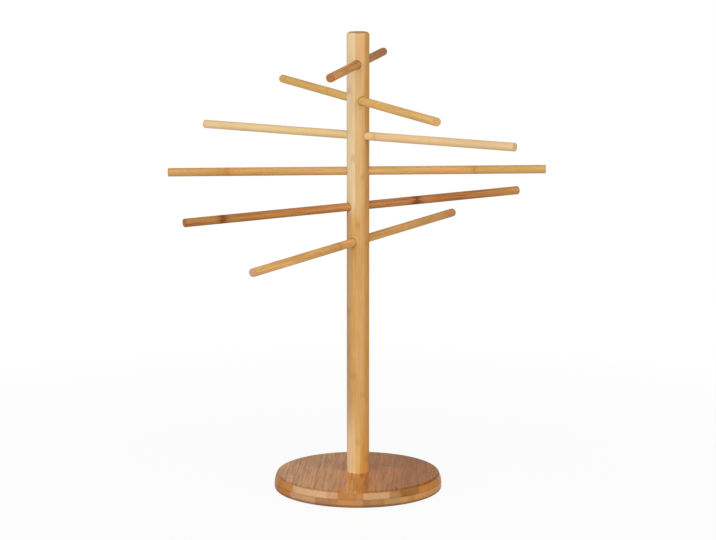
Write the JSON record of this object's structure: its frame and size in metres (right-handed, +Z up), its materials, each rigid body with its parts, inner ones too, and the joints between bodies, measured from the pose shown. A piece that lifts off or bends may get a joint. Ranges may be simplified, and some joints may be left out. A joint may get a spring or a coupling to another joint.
{
  "type": "pasta drying rack",
  "caption": "Free-standing bamboo pasta drying rack: a round base board carries an upright post, and loose straight rods pass through the post in a spiral to hang fresh pasta on.",
  "frame": {"origin": "on the table under the middle of the base board, where the axis of the post meets the plane of the foot pads", "axes": "+Z up along the post; +X to the right and +Y away from the viewer as the picture sees it, with the top rod pointing nearly along +Y"},
  "size_m": [0.4, 0.3969, 0.4935],
  "materials": {
    "board_bamboo": "satin lacquer",
    "post_bamboo": "satin lacquer",
    "rod_1_bamboo": "sanded and oiled",
    "rod_2_bamboo": "sanded and oiled",
    "rod_3_bamboo": "sanded and oiled",
    "rod_4_bamboo": "sanded and oiled",
    "rod_5_bamboo": "sanded and oiled",
    "rod_6_bamboo": "sanded and oiled",
    "zinc_plated_steel": "zinc plated",
    "brass": "plain turned",
    "pad_rubber": "matt foam rubber"
  },
  "bodies": {
    "stand": {"base_top_panel": "board_bamboo", "base_bottom_panel": "board_bamboo", "post": "post_bamboo", "fixing_bolt": "zinc_plated_steel", "threaded_insert": "brass", "foot_pad_1": "pad_rubber", "foot_pad_2": "pad_rubber", "foot_pad_3": "pad_rubber", "foot_pad_4": "pad_rubber"},
    "rod_1": {"rod_1": "rod_1_bamboo"},
    "rod_2": {"rod_2": "rod_2_bamboo"},
    "rod_3": {"rod_3": "rod_3_bamboo"},
    "rod_4": {"rod_4": "rod_4_bamboo"},
    "rod_5": {"rod_5": "rod_5_bamboo"},
    "rod_6": {"rod_6": "rod_6_bamboo"}
  },
  "joints": [
    {"name": "rod_1_slide", "type": "slide", "parent": "stand", "child": "rod_1", "axis": [0.139, 0.9892, -0.0471], "range_m": [-0.2212, 0.2148]},
    {"name": "rod_2_slide", "type": "slide", "parent": "stand", "child": "rod_2", "axis": [-0.4067, 0.9135, -0.0035], "range_m": [-0.2244, 0.2116]},
    {"name": "rod_3_slide", "type": "slide", "parent": "stand", "child": "rod_3", "axis": [-0.819, 0.5735, -0.0192], "range_m": [-0.2224, 0.2136]},
    {"name": "rod_4_slide", "type": "slide", "parent": "stand", "child": "rod_4", "axis": [-0.9993, 0.0349, -0.014], "range_m": [-0.2196, 0.2164]},
    {"name": "rod_5_slide", "type": "slide", "parent": "stand", "child": "rod_5", "axis": [-0.8829, -0.4694, -0.0105], "range_m": [-0.2208, 0.2152]},
    {"name": "rod_6_slide", "type": "slide", "parent": "stand", "child": "rod_6", "axis": [-0.5299, -0.848, -0.0122], "range_m": [-0.2188, 0.2172]}
  ]
}
